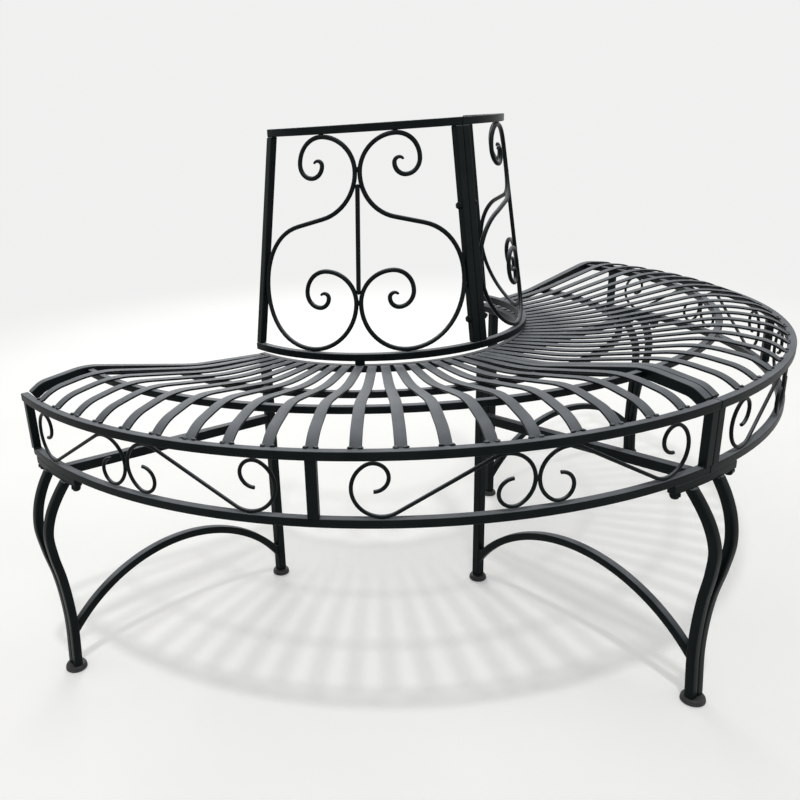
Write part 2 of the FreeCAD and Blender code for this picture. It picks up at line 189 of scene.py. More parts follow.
# The weld coat carries the full painted sheen on upward faces, and the bolt coat only a little of it.
steelCoat = powderCoat("blackPowderCoat", coatValues)
weldCoat = powderCoat("coatedWeld", {**coatValues, "peel": 340.0, "peelDepth": 0.0004, "roughness": 0.4})
boltCoat = powderCoat("blackBolt", {**coatValues, "bloomShare": 0.1, "roughness": 0.3, "peel": 1500.0})
footRubber = rubberPaint("footRubber", rubberValues)
print("materials ready")


# How pieces are finished
def finishPiece(bm, name, nodes, material, sharp=42.0):
    bmesh.ops.remove_doubles(bm, verts=bm.verts, dist=1e-6)
    bmesh.ops.recalc_face_normals(bm, faces=bm.faces)
    mesh = bpy.data.meshes.new(name)
    bm.to_mesh(mesh)
    bm.free()
    mesh.materials.append(material)
    mesh.shade_smooth()
    mesh.set_sharp_from_angle(angle=math.radians(sharp))
    piece = bpy.data.objects.new(name, mesh)
    bpy.context.scene.collection.objects.link(piece)
    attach(piece, "root")
    if nodes:
        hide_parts(*nodes)
    return piece


def pieceName(node):
    words = node.split("_")
    return words[0] + "".join(word.capitalize() for word in words[1:])


def standIn(bm, node, material=steelCoat, sharp=42.0):
    # A finished piece that takes the place and the name of a CAD node.
    return finishPiece(bm, pieceName(node), [node], material, sharp)


quarterSides = {"left": -1, "right": 1}
quarterGap = 0.00015  # half of the gap between the quarters


def aboutTree(degrees, shift=0.0):
    # Places what is drawn along +X at an angle about the tree, 0 to the front and 90 to the right.
    return Matrix.Translation((shift, treeY, 0)) @ Matrix.Rotation(math.radians(degrees - 90), 4, "Z")


def bevelParts(bm, parts, size, segments=2, affect="EDGES", clamp=False):
    bmesh.ops.bevel(
        bm,
        geom=parts,
        offset=size,
        segments=segments,
        profile=0.5,
        affect=affect,
        material=-1,
        clamp_overlap=clamp,
    )


# Sections bent along runs and arcs, drawn in the X-Z plane
def direction(heading):
    return Vector((math.cos(math.radians(heading)), 0, math.sin(math.radians(heading))))


def walk(place, heading, moves):
    # Where a line of moves ends; a move is a bend radius with a turn, or 0 with a length.
    for radius, amount in moves:
        if radius:
            side = math.copysign(1, amount)
            centre = place + direction(heading + 90 * side) * radius
            place = centre + direction(heading - 90 * side + amount) * radius
            heading += amount
        else:
            place = place + direction(heading) * amount
    return place, heading


def reverseMoves(moves):
    return [(radius, -amount if radius else amount) for radius, amount in reversed(moves)]


def bendAlong(bm, face, place, heading, moves, step=6.0):
    # Spins and extrudes the rim of a face along the moves and closes the far end.
    rim = list(face.edges)
    for radius, amount in moves:
        if radius:
            side = math.copysign(1, amount)
            centre = place + direction(heading + 90 * side) * radius
            steps = max(1, math.ceil(abs(amount) / step))
            spun = bmesh.ops.spin(
                bm, geom=rim, cent=centre, axis=(0, -1, 0), angle=math.radians(amount), steps=steps
            )
            rim = [part for part in spun["geom_last"] if isinstance(part, bmesh.types.BMEdge)]
        else:
            grown = bmesh.ops.extrude_edge_only(bm, edges=rim)["geom"]
            corners = [part for part in grown if isinstance(part, bmesh.types.BMVert)]
            bmesh.ops.translate(bm, verts=corners, vec=direction(heading) * amount)
            rim = [part for part in grown if isinstance(part, bmesh.types.BMEdge)]
            rim = [edge for edge in rim if edge.verts[0] in corners and edge.verts[1] in corners]
        place, heading = walk(place, heading, [(radius, amount)])
    return bmesh.ops.contextual_create(bm, geom=rim)["faces"][0]


def roundSection(bm, place, heading, radius, sides):
    turn = Matrix.Rotation(math.radians(90 - heading), 4, "Y")
    made = bmesh.ops.create_circle(
        bm, cap_ends=True, radius=radius, segments=sides, matrix=Matrix.Translation(place) @ turn
    )
    return made["verts"][0].link_faces[0]


rodChamfer = 0.14  # share of a rod's radius


def thinEnds(bm, sides, taper):
    # Draws both ends of a rod out thin; its rings of corners lie in order.
    corners = list(bm.verts)
    rings = len(corners) // sides
    for number in range(rings):
        share = min(number, rings - 1 - number) / taper["rings"]
        if share < 1:
            ring = corners[number * sides : (number + 1) * sides]
            middle = sum((vert.co for vert in ring), Vector()) / sides
            size = taper["tip"] + (1 - taper["tip"]) * math.sin(share * math.pi / 2)
            for vert in ring:
                vert.co = middle + (vert.co - middle) * size


def makeRod(place, heading, moves, radius, sides, taper=None):
    bm = bmesh.new()
    near = roundSection(bm, place, heading, radius, sides)
    far = bendAlong(bm, near, place, heading, moves)
    if taper:
        thinEnds(bm, sides, taper)
    for end in (near, far):
        bevelParts(bm, list(end.edges), radius * rodChamfer)
    return bm


def joinInto(target, source):
    mesh = bpy.data.meshes.new("part")
    source.to_mesh(mesh)
    source.free()
    target.from_mesh(mesh)
    bpy.data.meshes.remove(mesh)


# Tubes and bars: the CAD solids with their corners rounded
tubeCorners = {
    "seat_upper_ring": 0.0017,
    "seat_lower_ring": 0.0017,
    "seat_inner_rim": 0.0017,
    "seat_inner_support": 0.0014,
    "seat_outer_support": 0.0014,
    "seat_end_bar": 0.0019,
    "seat_joint_bar": 0.0019,
    "apron_posts": 0.0017,
    "back_top_rail": 0.0017,
    "back_bottom_rail": 0.0017,
    "back_end_post": 0.0019,
    "back_joint_post": 0.0019,
    "inner_leg": 0.0019,
    "stretcher": 0.0019,
    "bracket": 0.0016,
    "seat_stub_post": 0.0019,
}
roundingValues = {"steps": 3, "from": 50.0, "sharp": 60.0}  # the last two in degrees


def skinShells(bm):
    # The separate closed skins, each with its box.
    seen = set()
    shells = []
    for first in bm.verts:
        if first in seen:
            continue
        seen.add(first)
        shell = [first]
        for vert in shell:
            for edge in vert.link_edges:
                other = edge.other_vert(vert)
                if other not in seen:
                    seen.add(other)
                    shell.append(other)
        low = Vector([min(vert.co[axis] for vert in shell) for axis in range(3)])
        high = Vector([max(vert.co[axis] for vert in shell) for axis in range(3)])
        shells.append((shell, low, high))
    return shells


def liesInside(inner, outer):
    margin = 0.0005
    above = all(inner[1][axis] > outer[1][axis] + margin for axis in range(3))
    return above and all(inner[2][axis] < outer[2][axis] - margin for axis in range(3))


def roundedTube(node, corner):
    bm = bmesh.new()
    bm.from_mesh(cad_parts[node].data)
    bmesh.ops.remove_doubles(bm, verts=bm.verts, dist=1e-5)
    shells = skinShells(bm)
    for shell in shells:
        if any(liesInside(shell, other) for other in shells):
            bmesh.ops.delete(bm, geom=shell[0], context="VERTS")
    bmesh.ops.join_triangles(bm, faces=bm.faces, angle_face_threshold=0.03, angle_shape_threshold=3.1)
    piece = standIn(bm, node, sharp=roundingValues["sharp"])
    rounding = piece.modifiers.new("rounding", "BEVEL")
    rounding.width = corner
    rounding.segments = roundingValues["steps"]
    rounding.limit_method = "ANGLE"
    rounding.angle_limit = math.radians(roundingValues["from"])
    rounding.harden_normals = True


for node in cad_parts:
    for ending, corner in tubeCorners.items():
        if node.endswith(ending):
            roundedTube(node, corner)
print("tubes rounded")


# Outer legs and arches
frameAngles = {"left": -83.5, "front": 0.0, "right": 83.5}
legValues = {
    "bar": 0.0128,  # the solid's bar is 16 mm; the photo's looks nearer 12.5 mm
    "corner": 0.0020,
    "touch": 0.00015,
    "steps": 7,
    "line": [
        (0.693, 0.0, 0.009),
        (0.6885, 0.0, 0.0918),
        (0.694, 0.0022, 0.1678),
        (0.7025, 0.0064, 0.2138),
        (0.7055, 0.0108, 0.2498),
        (0.6975, 0.0160, 0.2838),
        (0.6842, 0.0200, 0.3098),
        (0.6700, 0.0224, 0.3298),
    ],
}
archValues = {
    "bar": 0.0125,  # the solid's bar is 15 mm; the photo's looks nearer 12 mm
    "corner": 0.0019,
    "radius": 0.261,
    "inner": (0.2806, 0.0498),
    "outer": (0.6817, 0.0711),
    "reach": 0.0016,  # how far the arch runs on between the outer legs
    "spare": 3.0,  # degrees
    "step": 2.5,  # degrees
}


def smoothLine(points, steps):
    # A smooth curve through the points, with a tangent from its neighbours at each.
    places = [Vector(point) for point in points]
    spans = [(after - before).length for before, after in zip(places, places[1:])]
    slopes = [(after - before) / span for before, after, span in zip(places, places[1:], spans)]
    tangents = [slopes[0]]
    for before, after, near, far in zip(slopes, slopes[1:], spans, spans[1:]):
        tangents.append((before * far + after * near) / (near + far))
    tangents.append(slopes[-1])
    line = []
    for number, span in enumerate(spans):
        for step in range(steps):
            share = step / steps
            back = 1 - share
            start = places[number] * (1 + 2 * share) * back**2
            end = places[number + 1] * (3 - 2 * share) * share**2
            leaving = tangents[number] * span * share * back**2
            arriving = tangents[number + 1] * span * back * share**2
            line.append(start + end + (leaving - arriving))
    return line + [places[-1]]


def squareSection(bm, place, turn, size, corner):
    # A square face with rounded corners, across the Z axis of the turn.
    spot = Matrix.Translation(place) @ turn
    made = bmesh.ops.create_grid(bm, x_segments=1, y_segments=1, size=size / 2, matrix=spot)
    bevelParts(bm, made["verts"], corner, 3, "VERTICES")
    return list(bm.faces)[0]


def frameAlong(way):
    # Z runs along the way and Y stays level.
    across = Vector((0, 1, 0)).cross(way).normalized()
    along = way.cross(across).normalized()
    return Matrix((across, along, way)).transposed().to_4x4()


def sweepSquare(line, ways, size, corner):
    bm = bmesh.new()
    near = squareSection(bm, line[0], frameAlong(ways[0]), size, corner)
    rim = list(near.edges)
    last = Matrix.Translation(line[0]) @ frameAlong(ways[0])
    for place, way in zip(line[1:], ways[1:]):
        following = Matrix.Translation(place) @ frameAlong(way)
        grown = bmesh.ops.extrude_edge_only(bm, edges=rim)["geom"]
        corners = [part for part in grown if isinstance(part, bmesh.types.BMVert)]
        bmesh.ops.transform(bm, verts=corners, matrix=following @ last.inverted())
        rim = [part for part in grown if isinstance(part, bmesh.types.BMEdge)]
        rim = [edge for edge in rim if edge.verts[0] in corners and edge.verts[1] in corners]
        last = following
    bmesh.ops.contextual_create(bm, geom=rim)
    return bm


def outerLeg(values, side):
    spread = values["bar"] / 2 + values["touch"]
    points = [(out, side * (spread + across), height) for out, across, height in values["line"]]
    line = smoothLine(points, values["steps"])
    up = Vector((0, 0, 1))
    ways = [up] + [(after - before).normalized() for before, after in zip(line, line[2:])] + [up]
    return sweepSquare(line, ways, values["bar"], values["corner"])


def trimAt(bm, level, way):
    geometry = list(bm.verts) + list(bm.edges) + list(bm.faces)
    cut = bmesh.ops.bisect_plane(
        bm, geom=geometry, dist=1e-6, plane_co=(level, 0, 0), plane_no=(way, 0, 0), clear_outer=True
    )
    rim = [part for part in cut["geom_cut"] if isinstance(part, bmesh.types.BMEdge)]
    bmesh.ops.contextual_create(bm, geom=rim)


def archCentre(values):
    low = Vector((values["inner"][0], 0, values["inner"][1]))
    high = Vector((values["outer"][0], 0, values["outer"][1]))
    way = (high - low).normalized()
    depth = math.sqrt(values["radius"] ** 2 - (high - low).length_squared / 4)
    return (low + high) / 2 + Vector((way.z, 0, -way.x)) * depth


def angleFrom(centre, spot):
    return math.degrees(math.atan2(spot[1] - centre.z, spot[0] - centre.x))


def archBrace(values):
    # Bent a little too long, then cut upright at both legs.
    centre = archCentre(values)
    first = angleFrom(centre, values["inner"]) + values["spare"]
    last = angleFrom(centre, values["outer"]) - values["spare"]
    start = centre + direction(first) * values["radius"]
    bm = bmesh.new()
    near = squareSection(bm, start, frameAlong(direction(first - 90)), values["bar"], values["corner"])
    bendAlong(bm, near, start, first - 90, [(values["radius"], last - first)], values["step"])
    trimAt(bm, values["inner"][0], -1)
    trimAt(bm, values["outer"][0] + values["reach"], 1)
    return bm


for frameName, angle in frameAngles.items():
    for legName, side in (("a", -1), ("b", 1)):
        leg = outerLeg(legValues, side)
        bmesh.ops.transform(leg, verts=leg.verts, matrix=aboutTree(angle))
        standIn(leg, f"{frameName}_outer_leg_{legName}")
    arch = archBrace(archValues)
    bmesh.ops.transform(arch, verts=arch.verts, matrix=aboutTree(angle))
    standIn(arch, frameName + "_arch_brace")
print("legs and arches made")


# Slats
slatValues = {
    "count": 19,
    "width": 0.015,
    "thickness": 0.003,
    "edgeRound": 0.0009,
    "margin": 0.5,  # degrees
    "line": [(0.2653, 0.4218), (0.393, 0.4296), (0.577, 0.4664), (0.6497, 0.4555), (0.6677, 0.4433)],
    "bends": [0.6, 0.2, 0.075],
    "bendStep": 2.6,  # degrees
    "wobble": 0.07,  # degrees
}


def bentMoves(line, bends):
    # Runs and arcs of a line with rounded corners.
    ways = [Vector(after) - Vector(before) for before, after in zip(line, line[1:])]
    headings = [math.degrees(math.atan2(way.y, way.x)) for way in ways]
    turns = [after - before for before, after in zip(headings, headings[1:])]
    cuts = [radius * math.tan(math.radians(abs(turn)) / 2) for radius, turn in zip(bends, turns)]
    runs = [way.length - before - after for way, before, after in zip(ways, [0] + cuts, cuts + [0])]
    moves = [(0, runs[0])]
    for radius, turn, run in zip(bends, turns, runs[1:]):
        moves += [(radius, turn), (0, run)]
    return headings[0], moves


def makeSlat(values):
    heading, moves = bentMoves(values["line"], values["bends"])
    down = direction(heading - 90) * values["thickness"]
    start = Vector((values["line"][0][0], 0, values["line"][0][1]))
    side = Vector((0, values["width"] / 2, 0))
    bm = bmesh.new()
    outline = (start - side, start + side, start + side + down, start - side + down)
    corners = [bm.verts.new(place) for place in outline]
    bm.faces.new(corners)
    bevelParts(bm, corners, values["edgeRound"], 2, "VERTICES")
    near = list(bm.faces)[0]
    bendAlong(bm, near, start, heading, moves, values["bendStep"])
    return bm


def slatAngles(values):
    pitch = (90 - 2 * values["margin"]) / (values["count"] + 1)
    return [values["margin"] + pitch * (number + 1) for number in range(values["count"])]


for sideName, side in quarterSides.items():
    allSlats = bmesh.new()
    for angle in slatAngles(slatValues):
        slat = makeSlat(slatValues)
        wobble = random.uniform(-slatValues["wobble"], slatValues["wobble"])
        place = aboutTree(side * angle + wobble, side * quarterGap)
        bmesh.ops.transform(slat, verts=slat.verts, matrix=place)
        joinInto(allSlats, slat)
    standIn(allSlats, sideName + "_seat_slats", sharp=30.0)
print("slats made")


# Scrolls of the apron
apronValues = {
    "radius": 0.672,
    "rod": 0.005,  # the solid's rod is 6 mm; the photo's looks nearer 5 mm
    "rodSides": 12,
    "bays": (22.5, 67.5),  # degrees from the joint
    "reach": 0.145,
    "curl": 0.018,
    "loopTurn": 58.0,
    "curlTurn": 212.0,
    "low": 0.354,
    "high": 0.430,
    "touch": 0.00015,
}


def wrapRound(bm, radiusAt, middle, side, shift):
    # Rolls the flat drawing round the tree: X becomes the way round and Y the way out.
    for vert in bm.verts:
        radius = radiusAt(vert.co.z)
        angle = math.radians(middle) + side * vert.co.x / radius
        out = radius + vert.co.y
        vert.co = Vector((out * math.sin(angle) + shift, treeY - out * math.cos(angle), vert.co.z))


def apronRadius(height):
    return apronValues["radius"]  # the apron stands upright


def loopRadius(values):
    # The loops of an apron scroll touch both rings.
    return (values["high"] - values["low"]) / 2 - values["rod"] / 2 - values["touch"]


def apronScroll(values, middle, side, shift):
    loop = loopRadius(values)
    lean = math.degrees(math.asin(2 * loop / values["reach"]))
    halfRun = math.sqrt((values["reach"] / 2) ** 2 - loop**2)
    half = [(loop, lean + 90 + values["loopTurn"]), (values["curl"], values["curlTurn"])]
    tip, heading = walk(direction(180 - lean) * halfRun, 180 - lean, half)
    moves = reverseMoves(half) + [(0, 2 * halfRun)] + half
    bm = makeRod(-tip, heading, moves, values["rod"] / 2, values["rodSides"])
    across = values["reach"] / 2 + loop + values["rod"] / 2 + values["touch"]
    centre = Vector((across, 0, (values["low"] + values["high"]) / 2))
    bmesh.ops.translate(bm, verts=bm.verts, vec=centre)
    wrapRound(bm, apronRadius, middle, side, shift)
    return bm


for sideName, side in quarterSides.items():
    scrolls = bmesh.new()
    for bay in apronValues["bays"]:
        for way in (-1, 1):
            joinInto(scrolls, apronScroll(apronValues, side * bay, way, side * quarterGap))
    standIn(scrolls, sideName + "_apron_scrolls")
print("apron scrolls made")


# Scrolls of the back
backValues = {
    "rod": 0.0072,  # the solid's rod is 8 mm; the photo's looks nearer 7 mm
    "rodSides": 14,
    "middle": 45.0,  # degrees from the joint
    "bottom": 0.430,
    "top": 0.787,
    "rail": 0.012,
    "post": 0.0145,
    "radius": 0.264,
    "lean": 0.051,
    "upperCurl": [(0.054, 90.0), (0.0388, 90.0), (0.0218, 90.0), (0.0182, 90.0), (0.0075, 150.0)],
    "lowerCurl": [(0.0492, 90.0), (0.0343, 90.0), (0.0229, 90.0), (0.0152, 90.0), (0.0075, 145.0)],
    "neck": 0.070,
    "neckTurn": 75.8,
    "bellyInner": 0.075,
    "touch": 0.00015,
    "taper": {"rings": 30, "tip": 0.5},  # the tip is a share of the rod's thickness
    "centreBar": 0.0066,  # the solid's bar is 8 mm; the photo's looks nearer 6.5 mm
    "centreReach": (0.003, 0.007),  # past the solid's ends, below and above
    "centreCorner": 0.0006,
}


def backSlope(values):
    return values["lean"] / (values["top"] - values["bottom"])


def backRadius(height):
    return backValues["radius"] - backSlope(backValues) * (height - backValues["bottom"])


def bellyRadius(values):
    # The belly stands on the bottom rail and reaches the upright.
    reach = values["rod"] / 2 + values["touch"]
    ground = values["bottom"] + values["rail"] + reach
    room = math.pi / 4 * backRadius(ground) - values["post"] - 2 * reach - values["bellyInner"]
    return room / (1 + math.pi / 4 * backSlope(values))


def backScroll(values, middle, side, shift):
    reach = values["rod"] / 2 + values["touch"]
    ground = values["bottom"] + values["rail"] + reach
    belly = bellyRadius(values)
    turn = math.radians(values["neckTurn"])
    across = -reach - values["bellyInner"] - belly * math.cos(turn)
    start = Vector((across, 0, ground + belly * (1 + math.sin(turn))))
    foot = -reach - values["neck"] * (1 - math.cos(turn))
    runUp = (foot - start.x) / math.tan(turn)
    touch = start.z + runUp + values["neck"] * math.sin(turn)
    curlBase = values["top"] - values["rail"] - reach - values["upperCurl"][0][0]
    tip, heading = walk(Vector((-reach, 0, curlBase)), 90, values["upperCurl"])
    moves = reverseMoves(values["upperCurl"])
    moves += [(0, curlBase - touch), (values["neck"], -values["neckTurn"])]
    moves += [(0, (foot - start.x) / math.sin(turn))]
    moves += [(belly, values["neckTurn"] + 90), (values["bellyInner"], 90)] + values["lowerCurl"]
    bm = makeRod(tip, heading + 180, moves, values["rod"] / 2, values["rodSides"], values["taper"])
    wrapRound(bm, backRadius, middle, side, shift)
    return bm


def centreBar(values, node, middle, shift):
    # The thin bar follows the slope of the back and ends at both pairs of curls.
    low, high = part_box(node)
    ends = [low.z - values["centreReach"][0], high.z + values["centreReach"][1]]
    line = [Vector((backRadius(height), 0, height)) for height in ends]
    way = (line[1] - line[0]).normalized()
    bar = sweepSquare(line, [way, way], values["centreBar"], values["centreCorner"])
    bmesh.ops.transform(bar, verts=bar.verts, matrix=aboutTree(middle, shift))
    return bar


for sideName, side in quarterSides.items():
    middle = side * backValues["middle"]
    shift = side * quarterGap
    for rodName, way in (("outer", -side), ("inner", side)):
        standIn(backScroll(backValues, middle, way, shift), f"{sideName}_back_scroll_{rodName}")
    node = sideName + "_back_centre_bar"
    standIn(centreBar(backValues, node, middle, shift), node)
print("back scrolls made")


# Feet, bolts and spacers
def lathe(profile, sides):
    # A turned piece about the Z axis, from its half outline.
    bm = bmesh.new()
    corners = [bm.verts.new((radius, 0, height)) for radius, height in profile]
    edges = [bm.edges.new(pair) for pair in zip(corners, corners[1:])]
    bmesh.ops.spin(
        bm,
        geom=corners + edges,
        cent=(0, 0, 0),
        axis=(0, 0, 1),
        angle=2 * math.pi,
        steps=sides,
        use_merge=True,
    )
    bmesh.ops.remove_doubles(bm, verts=bm.verts, dist=1e-6)
    bmesh.ops.recalc_face_normals(bm, faces=bm.faces)
    return bm


def softenEdges(bm, angle, size):
    folds = [edge for edge in bm.edges if len(edge.link_faces) == 2]
    sharp = [edge for edge in folds if edge.calc_face_angle(0) > math.radians(angle)]
    bevelParts(bm, sharp, size, clamp=True)


def solidBoxes(node):
    # The lowest and highest corners of each solid in a CAD node, from left to right.
    bm = bmesh.new()
    bm.from_mesh(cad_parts[node].data)
    bmesh.ops.remove_doubles(bm, verts=bm.verts, dist=1e-5)
    boxes = [(low, high) for shell, low, high in skinShells(bm)]
    bm.free()
    return sorted(boxes, key=lambda box: [round(value, 4) for value in box[0]])


footValues = {
    "sides": 40,
    "base": 0.0042,
    "groove": 0.0007,
    "upperInset": 0.0006,
    "edge": 0.0013,
    "softening": 0.35,  # share of the edge
}


def makeFoot(values, radius, height):
    # Moulded cap: a base with a groove round it, below the cup that holds the leg.
    base = values["base"]
    groove = values["groove"]
    upper = radius - values["upperInset"]
    profile = [(0, 0), (radius - values["edge"], 0), (radius, values["edge"]), (radius, base - groove)]
    profile += [(radius - groove, base), (radius - 1.6 * groove, base + groove), (upper, base + 2 * groove)]
    profile += [(upper, height - 2 * values["edge"]), (upper - values["edge"] * 1.4, height), (0, height)]
    foot = lathe(profile, values["sides"])
    softenEdges(foot, 25, values["edge"] * values["softening"])
    return foot


for node in ("outer_foot_caps", "inner_foot_caps"):
    feet = bmesh.new()
    for low, high in solidBoxes(node):
        foot = makeFoot(footValues, (high.x - low.x) / 2, high.z - low.z)
        middle = (low + high) / 2
        bmesh.ops.translate(foot, verts=foot.verts, vec=(middle.x, middle.y, low.z))
        joinInto(feet, foot)
    standIn(feet, node, footRubber)
print("feet made")

boltValues = {
    "chamfer": 0.0007,
    "across": 0.010,
    "head": 0.005,
    "washer": 0.0062,
    "washerThickness": 0.0009,
    "washerSides": 28,
    "thread": 0.0029,
    "threadDepth": 0.0004,
    "threadSides": 20,
    "pitch": 0.001,
    "threadEnd": 0.0045,
}
knobValues = {
    "chamfer": 0.0007,
    "across": 0.013,
    "height": 0.009,
    "skirt": 0.0045,
    "dome": 0.0056,
    "domeWall": 0.3,  # share of the dome that stands upright
    "domeSteps": 5,
    "domeSides": 28,
    "sunk": 0.0002,
}
spacerValues = {"radius": 0.008, "edge": 0.0009, "sides": 32}


def hexNut(across, height, chamfer):
    # Six-sided head or nut on the ground, with its top edges turned down.
    bm = bmesh.new()
    made = bmesh.ops.create_circle(bm, cap_ends=True, radius=across / math.sqrt(3), segments=6)
    face = made["verts"][0].link_faces[0]
    grown = bmesh.ops.extrude_face_region(bm, geom=[face])["geom"]
    raised = [part for part in grown if isinstance(part, bmesh.types.BMVert)]
    bmesh.ops.translate(bm, verts=raised, vec=(0, 0, height))
    top = [part for part in grown if isinstance(part, bmesh.types.BMFace)][0]
    bevelParts(bm, list(top.edges), chamfer)
    bmesh.ops.recalc_face_normals(bm, faces=bm.faces)
    return bm


def washerRing(values):
    radius = values["washer"]
    thickness = values["washerThickness"]
    ring = lathe([(0, 0), (radius, 0), (radius, thickness), (0, thickness)], values["washerSides"])
    softenEdges(ring, 40, thickness * 0.3)
    return ring


def threadEnd(values, length):
    # The end of the screw, with its thread as rings.
    crest = values["thread"]
    root = crest - values["threadDepth"]
    pitch = values["pitch"]
    profile = [(root, 0)]
    for number in range(int(length / pitch)):
        profile += [(crest, pitch * (number + 0.5)), (root, pitch * (number + 1))]
    return lathe(profile + [(0, length)], values["threadSides"])


def boltHead(values):
    bm = washerRing(values)
    head = hexNut(values["across"], values["head"] - values["washerThickness"], values["chamfer"])
    bmesh.ops.translate(head, verts=head.verts, vec=(0, 0, values["washerThickness"]))
    joinInto(bm, head)
    return bm


def boltNut(values):
    bm = boltHead(values)
    thread = threadEnd(values, values["threadEnd"])
    bmesh.ops.translate(thread, verts=thread.verts, vec=(0, 0, values["head"] - values["threadDepth"]))
    joinInto(bm, thread)
    return bm


def domedNut(values):
    # Cap nut: a six-sided skirt below a round dome.
    bm = hexNut(values["across"], values["skirt"], values["chamfer"])
    rise = values["height"] - values["skirt"]
    wall = values["domeWall"]
    dome = [(values["dome"], 0), (values["dome"], rise * wall)]
    for number in range(1, values["domeSteps"] + 1):
        turn = math.radians(90 / values["domeSteps"] * number)
        dome.append((values["dome"] * math.cos(turn), rise * (wall + (1 - wall) * math.sin(turn))))
    cap = lathe(dome, values["domeSides"])
    bmesh.ops.translate(cap, verts=cap.verts, vec=(0, 0, values["skirt"] - values["sunk"]))
    joinInto(bm, cap)
    return bm


def crossBolts(node):
    # Heads and nuts whose axis runs along X: the box to the right is the nut.
    bolts = bmesh.new()
    boxes = solidBoxes(node)
    middle = sum(((low + high) / 2 for low, high in boxes), Vector()) / len(boxes)
    for low, high in boxes:
        centre = (low + high) / 2
        onRight = centre.x > middle.x
        part = boltNut(boltValues) if onRight else boltHead(boltValues)
        turn = Matrix.Rotation(math.radians(90 if onRight else -90), 4, "Y")
        spin = Matrix.Rotation(random.uniform(0, 1), 4, "Z")
        start = Vector((low.x if onRight else high.x, centre.y, centre.z))
        bmesh.ops.transform(part, verts=part.verts, matrix=Matrix.Translation(start) @ turn @ spin)
        joinInto(bolts, part)
    standIn(bolts, node, boltCoat, sharp=35.0)


crossBolts("back_joint_bolts")
crossBolts("seat_stub_bolt")

knobs = bmesh.new()
for low, high in solidBoxes("bracket_knobs"):
    nut = domedNut(knobValues)
    flip = Matrix.Rotation(math.pi, 4, "X") @ Matrix.Rotation(random.uniform(0, 1), 4, "Z")
    centre = (low + high) / 2
    place = Matrix.Translation((centre.x, centre.y, high.z))
    bmesh.ops.transform(nut, verts=nut.verts, matrix=place @ flip)
    joinInto(knobs, nut)
standIn(knobs, "bracket_knobs", boltCoat, sharp=35.0)

spacers = bmesh.new()
for low, high in solidBoxes("back_spacers"):
    radius = spacerValues["radius"]
    height = high.z - low.z
    spacer = lathe([(0, 0), (radius, 0), (radius, height), (0, height)], spacerValues["sides"])
    softenEdges(spacer, 40, spacerValues["edge"])
    centre = (low + high) / 2
    bmesh.ops.translate(spacer, verts=spacer.verts, vec=(centre.x, centre.y, low.z))
    joinInto(spacers, spacer)
standIn(spacers, "back_spacers")
print("bolts, nuts and spacers made")


# Weld beads
weldValues = {  # long, wide and high
    "slatEnd": (0.0078, 0.0054, 0.0042),
    "slatInner": (0.0050, 0.0036, 0.0022),
    "touch": (0.0085, 0.0042, 0.0056),
    "crotch": (0.0120, 0.0080, 0.0070),
    "slatSeam": (0.0150, 0.0034, 0.0026),
    "corner": (0.0125, 0.0030, 0.0030),
    "legTop": (0.0150, 0.0050, 0.0042),
}
unevenness = 0.10  # share of a bead's size
weldPlaces = {
    "slatEnd": (0.0062, 0.0012),  # to the side of the slat and past its end
    "slatInner": (0.0050, 0.0),
    "slatBelow": 0.0006,
    "slatTwist": 14.0,  # degrees
    "seamPast": 0.0003,
    "seamBelow": 0.0016,
    "backTouch": 0.004,
    "bellyLean": 86.0,  # degrees
    "bellyRise": 0.9,  # share of the belly's radius
    "crotch": 0.002,
    "archPast": 0.001,
    "stretcherTop": 0.0152,
    "legTopBelow": 0.0008,
    "postAside": 0.006,
    "postInside": 0.0003,
    "openSide": 0.0002,  # how far the beads end before the open side
}
quarterTurn = Matrix.Rotation(math.pi / 2, 4, "Z")


def weldBead(bm, place, size, turn):
    # A short lump of weld: long, wide and high, then turned and set in place.
    shape = Matrix.Diagonal(Vector(size) / 2).to_4x4()
    bead = bmesh.ops.create_uvsphere(bm, u_segments=8, v_segments=5, radius=1.0)
    for vert in bead["verts"]:
        vert.co *= 1 + random.uniform(-1, 1) * unevenness
    bmesh.ops.transform(bm, verts=bead["verts"], matrix=Matrix.Translation(place) @ turn @ shape)


def turnOf(place):
    return place.to_3x3().to_4x4()


def groundFlush(bm):
    # Beads at the open side are ground level with the ends of the bench.
    for vert in bm.verts:
        vert.co.y = min(vert.co.y, treeY - weldPlaces["openSide"])


def slatWelds(places, side, shift):
    welds = bmesh.new()
    inner = slatValues["line"][0]
    outer = slatValues["line"][-1]
    for angle in slatAngles(slatValues):
        place = aboutTree(side * angle, shift)
        for end, kind in ((outer, "slatEnd"), (inner, "slatInner")):
            aside, past = places[kind]
            for way in (-1, 1):
                spot = Vector((end[0] + past, way * aside, end[1] - places["slatBelow"]))
                twist = random.uniform(-places["slatTwist"], places["slatTwist"])
                long = Matrix.Rotation(math.radians(90 + twist), 4, "Z")
                weldBead(welds, place @ spot, weldValues[kind], turnOf(place) @ long)
        seam = Vector((outer[0] + places["seamPast"], 0, outer[1] - places["seamBelow"]))
        weldBead(welds, place @ seam, weldValues["slatSeam"], turnOf(place) @ quarterTurn)
    return welds


def flatWelds(spots, radiusAt, middle, side, shift):
    # Beads given in the flat drawing: across, height, lean of the bead and its kind.
    welds = bmesh.new()
    for across, height, lean, kind in spots:
        turn = Matrix.Rotation(math.radians(-lean), 4, "Y")
        weldBead(welds, Vector((across, 0, height)), weldValues[kind], turn)
    wrapRound(welds, radiusAt, middle, side, shift)
    return welds


def apronSpots(values):
    near = loopRadius(values) + values["rod"] / 2 + values["touch"]
    far = near + values["reach"]
    middle = (values["low"] + values["high"]) / 2
    return [
        (near, values["high"], 0, "touch"),
        (far, values["low"], 0, "touch"),
        (0.0, middle, 90, "touch"),
    ]


